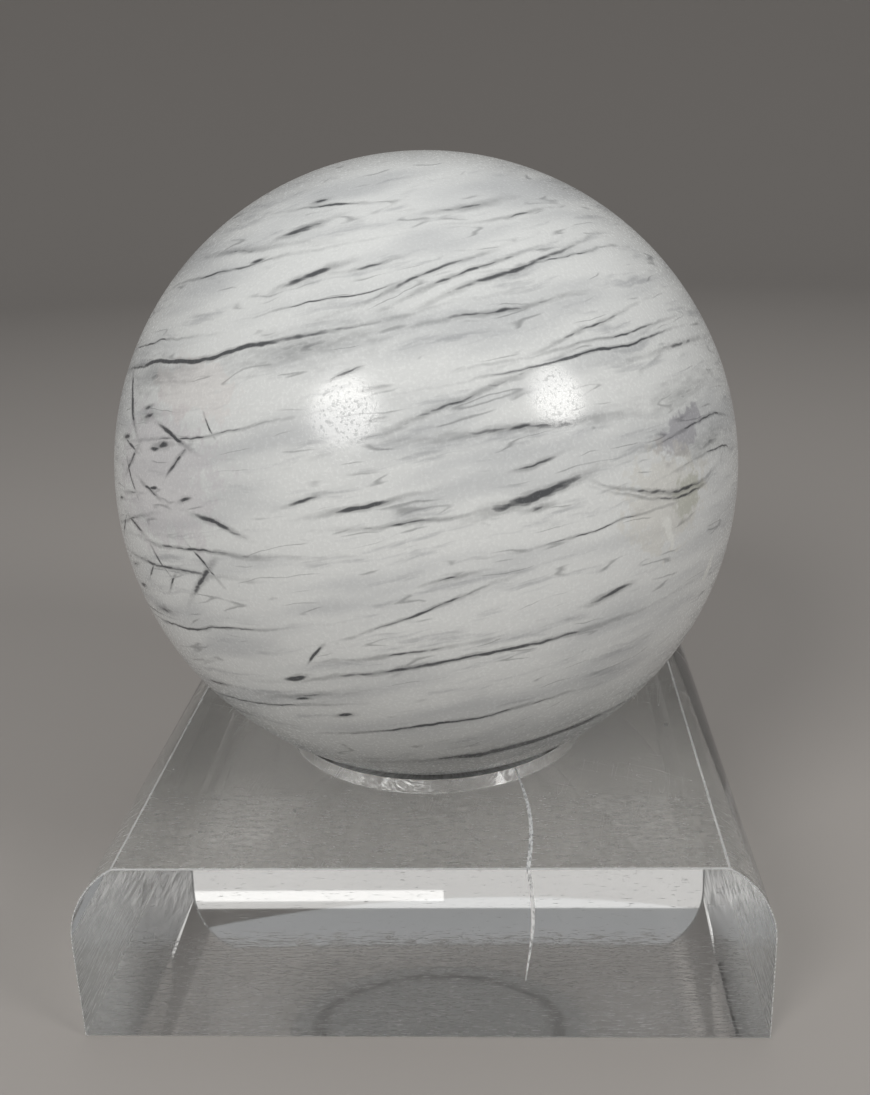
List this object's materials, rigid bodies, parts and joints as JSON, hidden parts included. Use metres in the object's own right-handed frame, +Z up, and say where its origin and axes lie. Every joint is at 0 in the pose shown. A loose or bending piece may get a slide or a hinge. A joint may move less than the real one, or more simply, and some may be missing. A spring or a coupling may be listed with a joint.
{
  "type": "decorative marble sphere on a clear acrylic base",
  "caption": "Polished grey-veined marble sphere resting in the round pocket of a square clear acrylic block with rounded side edges.",
  "frame": {"origin": "centre of the acrylic block's underside, straight below the sphere's centre", "axes": "+Z up through the sphere's centre; the block's flat front face looks along -Y and its rounded upper edges run along Y"},
  "size_m": [0.1778, 0.1778, 0.2172],
  "materials": {
    "polished_marble": "polished",
    "clear_acrylic": "polished"
  },
  "bodies": {
    "root": {"marble_sphere": "polished_marble", "acrylic_base": "clear_acrylic"}
  },
  "joints": []
}
